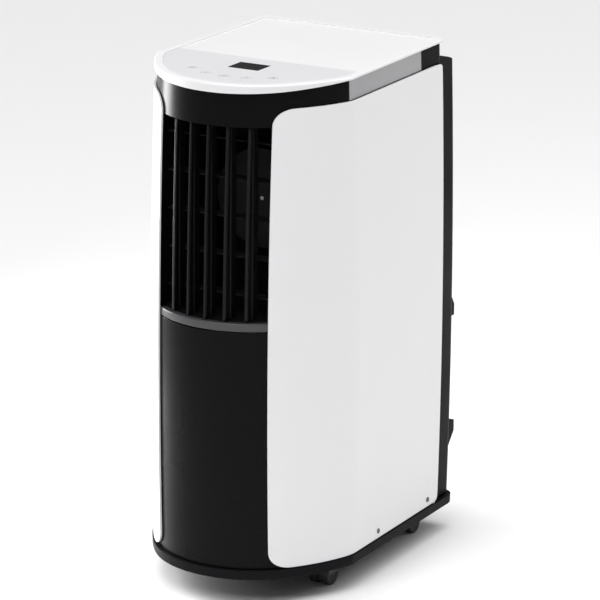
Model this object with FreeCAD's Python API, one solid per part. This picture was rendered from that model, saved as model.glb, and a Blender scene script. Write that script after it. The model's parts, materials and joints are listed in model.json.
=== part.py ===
"""Portable air conditioner, as an assembly of separate pieces.

A tall floor unit on four twin-wheel casters. Its plan is a rounded prow at the front (-Y), straight
sides and a black rear casing. White side panels wrap the creases and stand a little proud of the
black front. Cold air leaves by a tall outlet with upright vanes behind the prow, and warm air
leaves by a round collar at the back. The refrigeration loop stands inside on a water tray.

Frame: +Z up, front towards -Y, origin on the floor under the middle of the overall box.
Sizes are in millimetres.
"""
import FreeCAD, Part
import math
import os

V = FreeCAD.Vector

# ---- Overall sizes ----------------------------------------------------------------------------
HEIGHT = 770.0            # floor to the top of the lid
CREASE_HALF = 160.0       # half the width at the creases, at the top
SIDE = 300.0              # crease plane to the back of the white body
CASING_DEPTH = 42.0       # how far the rear casing stands behind the white body
NOSE_R = 145.0            # radius of the prow
NOSE_ANGLE = 49.0         # the prow's arc turns this far each side of the middle, degrees
FLANK_R = 275.0           # radius of the flatter flank between the prow and the crease
SIDE_TAPER = 4.0          # each side closes in this much from the crease to the back
CORNER_R = 22.0           # back corners of the body
BULGE = 13.0              # the front swells this far at its fullest height
BULGE_SIDE = 0.6          # share of the swell that the sides take
BULGE_Z = 330.0           # height of the fullest section
BULGE_REACH = 430.0       # height above it at which the swell has gone

# ---- Heights ----------------------------------------------------------------------------------
FLOOR_GAP = 40.0          # underside of the base above the floor
BASE_TOP = 54.0           # rim of the base
LID_Z = 766.5             # parting line under the lid, at the sides
LID_DIP = 9.0             # the parting line drops this much at the prow
PANEL_LOW = 56.0          # bottom edge of the side panels
PANEL_HIGH = 735.0        # top edge of the side panels
OUTLET_LOW = 425.0        # bottom of the air outlet
OUTLET_HIGH = 709.0       # top of the air outlet
SILL_H = 12.0             # strip between the outlet and the lower front panel
DECK_Z = 400.0            # underside of the deck between the two halves
DECK_T = 6.0
DECK_RIM = 16.0           # height of the deck with its rim
DECK_INSET = 8.5          # the deck stops this far inside the body's face
CASING_INSET = 7.0        # the casing is this much narrower than the body, each side
CASING_HIGH = 731.0       # top of the rear casing's box

# ---- Walls and gaps ---------------------------------------------------------------------------
WALL = 3.0                # moulded walls
PANEL_WALL = 3.0
GAP = 1.0                 # gap between trims
RECESS = 4.0              # the black front lies this far inside the white panels' face
BAND_RECESS = 4.0         # and the band under the lid this far
FIT = 0.4                 # clearance between bodies that move
LID_PROUD = 1.0           # the lid stands this far outside the band
BASE_PROUD = 2.0          # the base's rim stands this far outside the panels

# ---- Front opening and panels -----------------------------------------------------------------
FRONT_HALF = 91.0         # half the width between the two white panels
PANEL_CORNER = 24.0       # front corners of the white panels
PANEL_BACK_CORNER = 20.0  # back corners of the white panels
PANEL_END = 292.0         # the panels stop this far behind the crease
SCREW_Y = (88.0, 250.0)   # the panel screws, behind the crease
SCREW_UP = 11.0           # and above the panel's bottom edge
SCREW_R = 3.8
TRIM_SEAM = 222.0         # the side trims stop this far behind the crease

# ---- Air outlet -------------------------------------------------------------------------------
VANE_COUNT = 5
VANE_PITCH = 30.0
VANE_T = 3.6
VANE_CHORD = 30.0
VANE_FRONT = 8.0          # the vanes' front edges lie this far inside the body's face
VANE_PIVOT_R = 2.5
VANE_CRANK = 12.0         # the link's pins stand this far behind the pivots
VANE_END_GAP = 2.0
LINK_H = 4.0
LINK_W = 6.0
BLADE_COUNT = 5
BLADE_T = 2.4
BLADE_CHORD = 22.0
BLADE_GAP_BEHIND = 14.0   # between the vanes' link and the blades
BLADE_PIVOT_R = 2.0
BLADE_CRANK = 8.0
OUTLET_WALL = 3.0
OUTLET_DEPTH = 135.0      # depth of the outlet frame behind the prow's face

# ---- Top controls -----------------------------------------------------------------------------
LID_WALL = 3.0
LID_RIM = 11.0
LID_EDGE = 2.4            # rounding of the lid's top edge
LID_SINK = 1.4            # the top's middle lies this far below its rim
OVERLAY_T = 1.0
OVERLAY_BACK = 36.0       # the overlay reaches this far behind the crease
DISPLAY_W = 50.0
DISPLAY_D = 38.0
DISPLAY_Y = -14.0
KEY_R = 8.0
KEY_TRAVEL = 0.6
KEY_ARC_R = 106.0
KEY_ARC_Y = -85.0         # the middle key, from the crease plane
KEY_STEP = 33.0           # key to key along X
BOARD_T = 1.6
BOARD_DROP = 12.0         # board's top face below the lid's inner face

# ---- Casters ----------------------------------------------------------------------------------
CASTER_X_FRONT = 113.0
CASTER_X_BACK = 112.0
CASTER_Y_FRONT = 4.0     # from the crease plane
CASTER_Y_BACK = 265.0
WHEEL_R = 17.0
WHEEL_W = 13.0
WHEEL_BORE = 2.55
AXLE_R = 2.5
CASTER_TRAIL = 10.0
HOOD_R = 19.5
HOOD_W = 37.0
WEB_W = 6.0
STEM_R = 4.0
STEM_LEN = 11.0

# ---- Rear -------------------------------------------------------------------------------------
UPPER_GRILLE = (236.0, 250.0)   # width and height
UPPER_GRILLE_Z = 570.0          # middle
LOWER_GRILLE = (236.0, 170.0)
LOWER_GRILLE_Z = 165.0
GRILLE_PITCH = 10.0
GRILLE_BAR = 3.0
GRILLE_T = 6.0
FILTER_T = 3.0
COLLAR_R = 66.0
COLLAR_LEN = 14.0
COLLAR_Z = 330.0
HOOK_X = 139.0
HOOK_Z = (350.0, 139.0)
HOOK_REACH = (16.0, 22.0)
PLUG_R = 7.0
PLUG_LEN = 14.0
PLUG_Z = 425.0
PLUG_X = (-96.0, 0.0)
GLAND_X = -98.0
GLAND_Z = 330.0

# ---- Inside -----------------------------------------------------------------------------------
COMPRESSOR_R = 54.0
COMPRESSOR_H = 195.0
COMPRESSOR_X = -76.0
COMPRESSOR_Y = 14.0
COMPRESSOR_LIFT = 16.0    # feet under the can
RISER_X = -136.0          # where the pipe passes the deck
RISER_Y = 160.0
COIL_T = 32.0
COIL_W = 224.0
FAN_R = 74.0
FAN_W = 46.0
FAN_HUB_R = 9.0
FAN_BLADES = 24
SHAFT_R = 3.0
SHAFT_GAP = 0.05
MOTOR_R = 34.0
MOTOR_LEN = 40.0
SCROLL_GAP = 10.0
SCROLL_X = 40.0           # the condenser fan's axis and its housing's front
SCROLL_Y = 160.0
SCROLL_Z = 152.0
SCROLL_WALL = 2.5
PIPE_R = 4.0


# ---- The body's plan --------------------------------------------------------------------------
def swell(z):
    """How far the front stands out at height z."""
    return BULGE * (1 - ((z - BULGE_Z) / BULGE_REACH) ** 2)


def half_width(z, inset=0.0):
    """Half the width at the crease, at height z, inside the face by inset."""
    return CREASE_HALF + BULGE_SIDE * swell(z) - inset


def nose_centre_y(z):
    """The prow arc's centre, from the crease plane at the lid."""
    turn = math.radians(NOSE_ANGLE)
    flank_x = -(FLANK_R - NOSE_R) * math.sin(turn)
    reach = math.asin((CREASE_HALF - flank_x) / FLANK_R)
    drop = (FLANK_R - NOSE_R) * math.cos(turn) - FLANK_R * math.cos(reach)
    return -drop - swell(z)


def face_y(x, z, inset=0.0):
    """Y of the front face at x and height z."""
    turn = math.radians(NOSE_ANGLE)
    cy = nose_centre_y(z)
    x = abs(x)
    if x <= (NOSE_R - inset) * math.sin(turn):
        return cy - math.sqrt((NOSE_R - inset) ** 2 - x * x)
    fx = -(FLANK_R - NOSE_R) * math.sin(turn)
    fy = cy + (FLANK_R - NOSE_R) * math.cos(turn)
    return fy - math.sqrt((FLANK_R - inset) ** 2 - (x - fx) ** 2)


def plan_wire(z, inset=0.0, back=SIDE, corner=CORNER_R):
    """The closed outline of the body at height z, inside its face by inset."""
    turn = math.radians(NOSE_ANGLE)
    cy = nose_centre_y(z)
    centre = V(0, cy, z)
    nose_r, flank_r = NOSE_R - inset, FLANK_R - inset
    flank = V(-(FLANK_R - NOSE_R) * math.sin(turn), cy + (FLANK_R - NOSE_R) * math.cos(turn), z)
    half = half_width(z, inset)
    reach = math.asin((half - flank.x) / flank_r)
    back_y = back - inset
    back_half = half - SIDE_TAPER
    r = max(corner - inset, 2.0)

    def on(c, radius, angle):
        return V(c.x + radius * math.sin(angle), c.y - radius * math.cos(angle), z)

    def mirror(p):
        return V(-p.x, p.y, p.z)

    a = on(centre, nose_r, turn)
    mid_flank = on(flank, flank_r, (turn + reach) / 2)
    crease = on(flank, flank_r, reach)
    before = V(back_half, back_y - r, z)
    knee = V(back_half - r * (1 - math.sqrt(0.5)), back_y - r * (1 - math.sqrt(0.5)), z)
    after = V(back_half - r, back_y, z)
    edges = [
        Part.Arc(mirror(a), V(0, cy - nose_r, z), a).toShape(),
        Part.Arc(a, mid_flank, crease).toShape(),
        Part.makeLine(crease, before),
        Part.Arc(before, knee, after).toShape(),
        Part.makeLine(after, mirror(after)),
        Part.Arc(mirror(after), mirror(knee), mirror(before)).toShape(),
        Part.makeLine(mirror(before), mirror(crease)),
        Part.Arc(mirror(crease), mirror(mid_flank), mirror(a)).toShape(),
    ]
    return Part.Wire(edges)


def body(low, high, inset=0.0, back=SIDE, levels=6, corner=CORNER_R):
    """The body's solid between two heights, inside its face by inset."""
    if high - low < 40.0:
        levels = 2
    rings = [plan_wire(low + (high - low) * i / (levels - 1), inset, back, corner) for i in range(levels)]
    return Part.makeLoft(rings, True, False)


def box(x0, x1, y0, y1, z0, z1):
    """A block between two corners."""
    return Part.makeBox(x1 - x0, y1 - y0, z1 - z0, V(x0, y0, z0))


def cylinder(radius, length, at, axis=V(0, 0, 1)):
    """A round bar from a point along an axis."""
    return Part.makeCylinder(radius, length, at, axis)


def tube(outer, inner, length, at, axis=V(0, 0, 1)):
    """A round sleeve."""
    return cylinder(outer, length, at, axis).cut(cylinder(inner, length, at, axis))


def rounded_slab(u0, u1, v0, v1, radii, plane, w0, w1):
    """A slab with four rounded corners. plane is "xz" or "yz"; w runs through the slab.

    radii are those of the corners (u0, v0), (u1, v0), (u1, v1), (u0, v1).
    """
    def place(u, v):
        return V(u, w0, v) if plane == "xz" else V(w0, u, v)

    corners = [(u0, v0, 1, 1), (u1, v0, -1, 1), (u1, v1, -1, -1), (u0, v1, 1, -1)]
    edges = []
    joints = []
    for (u, v, su, sv), r in zip(corners, radii):
        along_u = place(u + su * r, v)
        along_v = place(u, v + sv * r)
        k = r * (1 - math.sqrt(0.5))
        middle = place(u + su * k, v + sv * k)
        start, end = (along_v, along_u) if su * sv > 0 else (along_u, along_v)
        if r > 0:
            edges.append(Part.Arc(start, middle, end).toShape())
        joints.append((start, end))
    for i in range(4):
        edges.append(Part.makeLine(joints[i][1], joints[(i + 1) % 4][0]))
    wire = Part.Wire(Part.__sortEdges__(edges))
    through = V(0, w1 - w0, 0) if plane == "xz" else V(w1 - w0, 0, 0)
    return Part.Face(wire).extrude(through)


def mirrored(shape):
    """The same piece on the other side."""
    return shape.mirror(V(0, 0, 0), V(1, 0, 0))


def soften(shape, radius, chosen):
    """Rounds the edges that chosen picks."""
    edges = [e for e in shape.Edges if chosen(e)]
    return shape.makeFillet(radius, edges)


NOSE_Y = nose_centre_y(HEIGHT) - NOSE_R
FAR = 600.0


def above_lid_line(gap=0.0):
    """Everything above the parting line under the lid, which drops towards the prow."""
    front = NOSE_Y - 40.0
    low = LID_Z - LID_DIP + gap
    points = [V(-FAR, front, low), V(-FAR, NOSE_Y, low), V(-FAR, 0, LID_Z + gap), V(-FAR, FAR, LID_Z + gap),
              V(-FAR, FAR, HEIGHT + 50), V(-FAR, front, HEIGHT + 50)]
    face = Part.Face(Part.makePolygon(points + points[:1]))
    return face.extrude(V(2 * FAR, 0, 0))


# ---- Skin -------------------------------------------------------------------------------------
def shell(low, high, inset, thick, back=SIDE):
    """A wall of the body between two heights."""
    inner = body(low, high, inset + thick, back)
    return body(low, high, inset, back).cut(inner)


def top_lid():
    """The white top, hollow below, with a sunken middle and holes for the keys and display."""
    low = LID_Z - LID_DIP
    outer = body(low, HEIGHT, -LID_PROUD).common(above_lid_line())
    outer = soften(outer, LID_EDGE, lambda e: e.BoundBox.ZMin > HEIGHT - 0.01)
    under = floor_z() - LID_WALL
    lid = outer.cut(body(low - 1, under, LID_WALL - LID_PROUD))
    lid = lid.cut(body(floor_z(), HEIGHT + 1, LID_RIM))
    for x, y in key_places():
        lid = lid.cut(cylinder(KEY_R + FIT, 10, V(x, y, under - 1)))
    x0, x1, y0, y1 = display_area()
    lid = lid.cut(box(x0 + 3, x1 - 3, y0 + 3, y1 - 3, under - 1, HEIGHT))
    for x in (-60, 60):
        for y in (40, 170):
            lid = lid.fuse(tube(4, 1.5, 14, V(x, y, under - 14)))
    return lid


def floor_z():
    """The sunken middle of the lid."""
    return HEIGHT - LID_SINK


def key_places():
    """The five keys' middles, on an arc along the front of the lid."""
    places = []
    for i in range(5):
        x = (i - 2) * KEY_STEP
        places.append((x, KEY_ARC_Y + KEY_ARC_R - math.sqrt(KEY_ARC_R ** 2 - x * x)))
    return places


def display_area():
    """The display window's edges."""
    return -DISPLAY_W / 2, DISPLAY_W / 2, DISPLAY_Y - DISPLAY_D / 2, DISPLAY_Y + DISPLAY_D / 2


def control_overlay():
    """The thin sheet over the front of the lid's middle."""
    sheet = body(floor_z(), floor_z() + OVERLAY_T, LID_RIM + 0.5)
    sheet = sheet.common(box(-FAR, FAR, -FAR, OVERLAY_BACK, 0, FAR * 2))
    for x, y in key_places():
        sheet = sheet.cut(cylinder(KEY_R + FIT, 10, V(x, y, floor_z() - 1)))
    x0, x1, y0, y1 = display_area()
    return sheet.cut(box(x0, x1, y0, y1, floor_z() - 1, HEIGHT + 1))


def display_window():
    """The dark window, laid in the overlay's opening."""
    x0, x1, y0, y1 = display_area()
    return box(x0 + 0.2, x1 - 0.2, y0 + 0.2, y1 - 0.2, floor_z(), floor_z() + OVERLAY_T)


def key(x, y):
    """A round key with a flange under the lid and a stem towards its switch."""
    under = floor_z() - LID_WALL
    top = floor_z() + OVERLAY_T + 0.3
    head = cylinder(KEY_R, top - under + 0.3, V(x, y, under - 0.3))
    head = soften(head, 0.6, lambda e: e.BoundBox.ZMin > top - 0.01)
    flange = cylinder(KEY_R + 1.6, 1.3, V(x, y, under - 1.6))
    stem_low = board_z() + 3.0 + KEY_TRAVEL + 0.4
    return head.fuse(flange).fuse(cylinder(3, under - 1 - stem_low, V(x, y, stem_low))).removeSplitter()


def board_z():
    """Top face of the control board."""
    return floor_z() - LID_WALL - BOARD_DROP


def control_board():
    """The board under the keys, with a switch below each and the display's block."""
    plate = box(-80, 80, -98, 0, board_z() - BOARD_T, board_z())
    for x, y in key_places():
        plate = plate.fuse(box(x - 3, x + 3, y - 3, y + 3, board_z(), board_z() + 3.0))
    x0, x1, y0, y1 = display_area()
    block = box(x0 + 4, x1 - 4, y0 + 4, y1 - 4, board_z() - 0.1, floor_z() - 0.3)
    return plate.fuse(block)


def front_strip(x_half):
    """Everything in front of the crease plane between two sides."""
    return box(-x_half, x_half, -FAR, 0, -FAR, FAR * 2)


def band_ring(inset, thick):
    """The strip between the white panels and the lid, all round."""
    ring = shell(PANEL_HIGH + GAP, LID_Z, inset, thick)
    return ring.cut(above_lid_line(-0.3))


def neck_band():
    """The black front of the strip under the lid, with the head of the air outlet."""
    ring = band_ring(BAND_RECESS, WALL).common(box(-FAR, FAR, -FAR, -2, 0, FAR * 2))
    head = shell(OUTLET_HIGH, LID_Z - LID_DIP, BAND_RECESS, WALL)
    head = head.common(front_strip(tucked_half()))
    return ring.fuse(head.cut(above_lid_line(-0.3))).removeSplitter()


def side_trim():
    """The satin strip over the right white panel."""
    ring = band_ring(BAND_RECESS, WALL)
    return ring.common(box(0, FAR, -2 + GAP, TRIM_SEAM, 0, FAR * 2))


def side_panel():
    """The right white panel, from the front round the crease to the back."""
    skin = shell(PANEL_LOW, PANEL_HIGH, 0, PANEL_WALL)
    front = rounded_slab(FRONT_HALF, FAR, PANEL_LOW, PANEL_HIGH, (PANEL_CORNER, 0, 0, PANEL_CORNER),
                         "xz", -FAR, FAR)
    side = rounded_slab(-FAR, PANEL_END, PANEL_LOW, PANEL_HIGH, (0, PANEL_BACK_CORNER, PANEL_BACK_CORNER, 0),
                        "yz", 0, FAR)
    return skin.common(front).common(side)


def tucked_half():
    """The black front's pieces reach this far sideways, behind the white panels."""
    return FRONT_HALF + PANEL_CORNER + 3.0


def front_panel():
    """The black lower front."""
    low, high = BASE_TOP + GAP, OUTLET_LOW - SILL_H - GAP
    return shell(low, high, RECESS, WALL).common(front_strip(tucked_half()))


def outlet_sill():
    """The strip under the air outlet."""
    bar = shell(OUTLET_LOW - SILL_H, OUTLET_LOW, BAND_RECESS, 11.0)
    return bar.common(front_strip(FRONT_HALF - GAP))


# ---- Air outlet -------------------------------------------------------------------------------
def vane_xs():
    """The vanes' places across the outlet."""
    return [(i - (VANE_COUNT - 1) / 2) * VANE_PITCH for i in range(VANE_COUNT)]


def vane_pivot_y(x):
    """A vane's pivot stands at the middle of its chord."""
    return face_y(x, (OUTLET_LOW + OUTLET_HIGH) / 2) + VANE_FRONT + VANE_CHORD / 2


def plate_z():
    """Underside of the outlet's top plate."""
    return OUTLET_HIGH + 8.0


def vane(x):
    """One upright vane with its two pivots and its crank pin."""
    y = vane_pivot_y(x)
    low, high = OUTLET_LOW + VANE_END_GAP, OUTLET_HIGH - 1.0
    half, tail = VANE_T / 2, 0.9
    back = y + VANE_CHORD / 2
    front = y - VANE_CHORD
    ring = [V(x - half, front, low), V(x + half, front, low), V(x + tail, back, low), V(x - tail, back, low)]
    blade = Part.Face(Part.makePolygon(ring + ring[:1])).extrude(V(0, 0, high - low))
    blade = blade.common(body(OUTLET_LOW - 5, OUTLET_HIGH + 5, VANE_FRONT))
    blade = blade.fuse(cylinder(VANE_PIVOT_R, high - low, V(x, y, low)))
    blade = blade.fuse(cylinder(VANE_PIVOT_R, plate_z() + 2.5 - high + 1, V(x, y, high - 1)))
    blade = blade.fuse(cylinder(VANE_PIVOT_R, 5.5, V(x, y, low - 4.5)))
    blade = blade.fuse(cylinder(2.4, 3.0, V(x, y + VANE_CRANK, high - 3.0)))
    return blade.fuse(cylinder(1.5, 7.5, V(x, y + VANE_CRANK, high - 1))).removeSplitter()


def vane_link():
    """The bar that ties the five vanes together above their tops."""
    low = OUTLET_HIGH + 0.5
    holes = [V(x, vane_pivot_y(x) + VANE_CRANK, low) for x in vane_xs()]
    bar = None
    for a, b in zip(holes, holes[1:]):
        d = (b - a).normalize()
        n = V(-d.y, d.x, 0) * (LINK_W / 2)
        ring = [a + n, b + n, b - n, a - n, a + n]
        piece = Part.Face(Part.makePolygon(ring)).extrude(V(0, 0, LINK_H))
        bar = piece if bar is None else bar.fuse(piece)
    for hole in holes:
        bar = bar.fuse(cylinder(3.8, LINK_H, hole))
    for hole in holes:
        bar = bar.cut(cylinder(1.5 + FIT, LINK_H + 2, hole - V(0, 0, 1)))
    return bar.removeSplitter()


def blade_zs():
    """The guide blades' heights."""
    step = (OUTLET_HIGH - OUTLET_LOW) / BLADE_COUNT
    return [OUTLET_LOW + (i + 0.5) * step for i in range(BLADE_COUNT)]


def blade_y():
    """The guide blades' pivot line, behind the rearmost vane."""
    return vane_pivot_y(vane_xs()[0]) + VANE_CHORD / 2 + BLADE_GAP_BEHIND


def guide_blade(z):
    """One level blade with end pivots, and a crank pin in the notch at its right end."""
    y, half = blade_y(), BLADE_CHORD / 2
    blade = box(-FRONT_HALF + 1, FRONT_HALF - 1, y - half, y + half, z - BLADE_T / 2, z + BLADE_T / 2)
    blade = soften(blade, 1.1, lambda e: abs(e.BoundBox.XLength) > 100)
    blade = blade.cut(box(FRONT_HALF - 14, FRONT_HALF + 1, y + 2.6, y + half + 1, z - 3, z + 3))
    for x in (-FRONT_HALF - 4.5, FRONT_HALF - 5):
        blade = blade.fuse(cylinder(BLADE_PIVOT_R, 9.5, V(x, y, z), V(1, 0, 0)))
    pin = cylinder(1.5, 15, V(FRONT_HALF - 18, y + BLADE_CRANK, z), V(1, 0, 0))
    return blade.fuse(pin).removeSplitter()


def guide_link():
    """The upright bar that ties the guide blades together."""
    y, x = blade_y() + BLADE_CRANK, FRONT_HALF - 10
    zs = blade_zs()
    bar = box(x, x + 3.5, y - 2.6, y + 2.6, zs[0] - 6, zs[-1] + 6)
    for z in zs:
        bar = bar.fuse(cylinder(3.4, 3.5, V(x, y, z), V(1, 0, 0)))
    for z in zs:
        bar = bar.cut(cylinder(1.5 + FIT, 6, V(x - 1, y, z), V(1, 0, 0)))
    for a, b in zip(zs, zs[1:]):
        bar = bar.cut(box(x - 1, x + 5, y - 1.2, y + 1.2, a + 10, b - 10))
    return bar.removeSplitter()


def outlet_back_y():
    """Where the outlet frame meets the air duct."""
    return NOSE_Y + OUTLET_DEPTH


def outlet_frame():
    """The open frame of the outlet: two walls, a top and a bottom plate and a front lip."""
    wall_x = FRONT_HALF + 1.0
    low, high = OUTLET_LOW - OUTLET_WALL, plate_z() + OUTLET_WALL
    solid = body(low, high, BAND_RECESS + WALL + GAP)
    outer = solid.common(box(-wall_x - OUTLET_WALL, wall_x + OUTLET_WALL, -FAR, outlet_back_y(), low, high))
    frame = outer.cut(box(-wall_x, wall_x, -FAR, FAR, OUTLET_LOW, plate_z()))
    sill_space = shell(OUTLET_LOW - SILL_H, OUTLET_LOW + 0.01, BAND_RECESS - 1, 12.5)
    frame = frame.cut(sill_space.common(front_strip(FRONT_HALF)))
    lip = shell(low, high, BAND_RECESS + WALL + GAP, 2.5).common(front_strip(FRONT_HALF + 12))
    frame = frame.fuse(lip.cut(front_strip(wall_x)))
    for x in vane_xs():
        y = vane_pivot_y(x)
        frame = frame.cut(cylinder(VANE_PIVOT_R + FIT, 10, V(x, y, plate_z() - 3)))
        frame = frame.fuse(tube(VANE_PIVOT_R + 3, VANE_PIVOT_R + FIT, 8, V(x, y, OUTLET_LOW - 8)))
        frame = frame.cut(cylinder(VANE_PIVOT_R + FIT, 10, V(x, y, OUTLET_LOW - 6)))
    for z in blade_zs():
        for side in (-1, 1):
            at = V(side * (wall_x + OUTLET_WALL + 1), blade_y(), z)
            frame = frame.cut(cylinder(BLADE_PIVOT_R + FIT, 8, at, V(-side, 0, 0)))
    return frame.removeSplitter()


def swing_motor():
    """The small motor over the first vane's pivot."""
    x, y = vane_xs()[0], vane_pivot_y(vane_xs()[0])
    z = plate_z() + OUTLET_WALL
    can = cylinder(11, 17, V(x, y + 6, z))
    ears = box(x - 17, x + 17, y + 2, y + 10, z, z + 1.5)
    return can.fuse(ears).cut(cylinder(VANE_PIVOT_R + FIT, 3, V(x, y, z - 1))).removeSplitter()


# ---- Base and casters -------------------------------------------------------------------------
def base_tray():
    """The water tray that carries everything, with a proud rim and four caster sockets."""
    tray = body(FLOOR_GAP, BASE_TOP, -BASE_PROUD, SIDE + CASING_DEPTH - BASE_PROUD)
    tray = soften(tray, 2.0, lambda e: e.BoundBox.ZMax < FLOOR_GAP + 0.01)
    tray = tray.cut(body(FLOOR_GAP + 4, BASE_TOP + 1, 5.0, SIDE + CASING_DEPTH - 3))
    for x, y in caster_places():
        tray = tray.fuse(cylinder(STEM_R + 5, STEM_LEN + 3, V(x, y, FLOOR_GAP + 3.5)))
        tray = tray.cut(cylinder(STEM_R + FIT, STEM_LEN + 1, V(x, y, FLOOR_GAP - 1)))
    y = SIDE + CASING_DEPTH
    tray = tray.cut(cylinder(PLUG_R - 3 + FIT, 30, V(PLUG_X[1], y - 16, BASE_TOP - 8), V(0, 1, 0)))
    return tray.removeSplitter()


def caster_places():
    """The four casters' swivel axes."""
    front = [(-CASTER_X_FRONT, CASTER_Y_FRONT), (CASTER_X_FRONT, CASTER_Y_FRONT)]
    return front + [(-CASTER_X_BACK, CASTER_Y_BACK), (CASTER_X_BACK, CASTER_Y_BACK)]


def caster_fork(x, y):
    """A caster's hood, web, axle and stem."""
    top = FLOOR_GAP - 0.8
    axle = V(x, y + CASTER_TRAIL, WHEEL_R)
    hood = cylinder(HOOD_R, HOOD_W, axle - V(HOOD_W / 2, 0, 0), V(1, 0, 0))
    inner = cylinder(WHEEL_R + 0.8, HOOD_W - 2, axle - V(HOOD_W / 2 - 1, 0, 0), V(1, 0, 0))
    hood = hood.cut(inner).common(box(x - 50, x + 50, y - 60, y + 60, WHEEL_R + 3, top))
    hood = hood.common(box(x - 50, x + 50, y - 60, y + CASTER_TRAIL + 12, 0, 60))
    web = box(x - WEB_W / 2, x + WEB_W / 2, y - 3, y + CASTER_TRAIL + 4, 8, top)
    web = web.common(cylinder(HOOD_R, HOOD_W, axle - V(HOOD_W / 2, 0, 0), V(1, 0, 0)))
    axle_bar = cylinder(AXLE_R, HOOD_W - 4, axle - V((HOOD_W - 4) / 2, 0, 0), V(1, 0, 0))
    boss = cylinder(STEM_R + 3, 5, V(x, y, top - 5)).cut(inner)
    web_boss = web.fuse(axle_bar).fuse(boss)
    stem = cylinder(STEM_R, STEM_LEN + 1, V(x, y, top - 0.2))
    return hood.fuse(web_boss).fuse(stem).removeSplitter()


def caster_wheels(x, y):
    """A caster's two wheels, joined by the sleeve they turn on."""
    side = WEB_W / 2 + 0.4
    wheels = []
    for start in (x - side - WHEEL_W, x + side):
        disc = cylinder(WHEEL_R, WHEEL_W, V(start, y + CASTER_TRAIL, WHEEL_R), V(1, 0, 0))
        disc = soften(disc, 1.2, lambda e: True)
        bore = cylinder(WHEEL_BORE, WHEEL_W + 2, V(start - 1, y + CASTER_TRAIL, WHEEL_R), V(1, 0, 0))
        wheels.append(disc.cut(bore))
    return wheels


# ---- Rear -------------------------------------------------------------------------------------
def casing_back():
    """The outer face of the rear casing."""
    return SIDE + CASING_DEPTH


def grille_hole(size, z, extra, y0, y1):
    """The space of a grille in the casing's back wall."""
    w, h = size[0] / 2 + extra, size[1] / 2 + extra
    return box(-w, w, y0, y1, z - h, z + h)


def casing_solid():
    """The rear casing's outer form."""
    back = casing_back() + CASING_INSET
    return body(BASE_TOP + GAP, CASING_HIGH, CASING_INSET, back, corner=18 + CASING_INSET)


def rear_casing():
    """The black back with openings for the grilles, the collar and the cord, and its strip under the lid."""
    low = BASE_TOP + GAP
    y0 = PANEL_END + GAP
    zone = box(-FAR, FAR, y0, FAR, low, CASING_HIGH)
    back = casing_back()
    solid = casing_solid().common(zone)
    inset = CASING_INSET + WALL
    hollow = body(low - 1, CASING_HIGH - WALL, inset, back + CASING_INSET, corner=18 + CASING_INSET)
    casing = solid.cut(hollow)
    upper = shell(CASING_HIGH - 10, LID_Z, BAND_RECESS, WALL).cut(above_lid_line(-0.3))
    reach = box(-FAR, FAR, y0, FAR, 0, FAR * 2)
    reach = reach.fuse(box(-FAR, FAR, TRIM_SEAM + GAP, FAR, PANEL_HIGH + GAP, FAR * 2))
    casing = casing.fuse(upper.common(reach.removeSplitter()))
    for size, z in ((UPPER_GRILLE, UPPER_GRILLE_Z), (LOWER_GRILLE, LOWER_GRILLE_Z)):
        seat = grille_hole(size, z, 4, back - GRILLE_T - 4, back)
        casing = casing.fuse(seat)
        casing = casing.cut(grille_hole(size, z, FIT, back - GRILLE_T - FILTER_T + 2.6, back + 1))
        casing = casing.cut(grille_hole(size, z, -5, back - 30, back + 1))
    casing = casing.cut(cylinder(COLLAR_R - 2, 60, V(0, back - 30, COLLAR_Z), V(0, 1, 0)))
    x, z = PLUG_X[0], PLUG_Z
    casing = casing.cut(cylinder(PLUG_R - 3 + FIT, 30, V(x, back - 12, z), V(0, 1, 0)))
    casing = casing.fuse(cylinder(9, 7, V(GLAND_X, back - 3, GLAND_Z), V(0, 1, 0)))
    return casing.cut(cylinder(4, 30, V(GLAND_X, back - 12, GLAND_Z), V(0, 1, 0))).removeSplitter()


def grille(size, z):
    """A pull-off grille of level bars in a frame."""
    back = casing_back()
    w, h = size[0] / 2, size[1] / 2
    frame = box(-w, w, back - GRILLE_T + 1, back, z - h, z + h)
    hole = box(-w + 8, w - 8, back - GRILLE_T - 1, back + 1, z - h + 8, z + h - 8)
    frame = frame.cut(hole)
    count = int((size[1] - 16) / GRILLE_PITCH)
    first = z - (count - 1) * GRILLE_PITCH / 2
    for i in range(count):
        level = first + i * GRILLE_PITCH
        low, high = level - GRILLE_BAR / 2, level + GRILLE_BAR / 2
        frame = frame.fuse(box(-w + 7, w - 7, back - 4, back - 1, low, high))
    for x in (-w / 2, 0, w / 2):
        frame = frame.fuse(box(x - 2, x + 2, back - GRILLE_T + 1, back - 2, z - h + 7, z + h - 7))
    grip = box(-w + 10, -w + 34, back - 3, back + 2, z - 12, z + 12)
    return frame.fuse(grip).removeSplitter()


def upper_filter():
    """The dust filter carried on the back of the upper grille."""
    w, h = UPPER_GRILLE[0] / 2 - 8, UPPER_GRILLE[1] / 2 - 8
    y = casing_back() - GRILLE_T + 1
    return box(-w, w, y - 1.5, y, UPPER_GRILLE_Z - h, UPPER_GRILLE_Z + h)


def exhaust_collar():
    """The round collar for the warm-air hose, with two lugs."""
    back = casing_back()
    ring = tube(COLLAR_R, COLLAR_R - 3, COLLAR_LEN, V(0, back, COLLAR_Z), V(0, 1, 0))
    flange = tube(COLLAR_R + 9, COLLAR_R - 3, 2.5, V(0, back, COLLAR_Z), V(0, 1, 0))
    collar = ring.fuse(flange)
    for side in (-1, 1):
        x = side * (COLLAR_R + 2)
        end = back + COLLAR_LEN - 2
        collar = collar.fuse(box(x - 2.5, x + 2.5, back + 2, end, COLLAR_Z - 8, COLLAR_Z + 8))
    return collar.removeSplitter()


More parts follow.
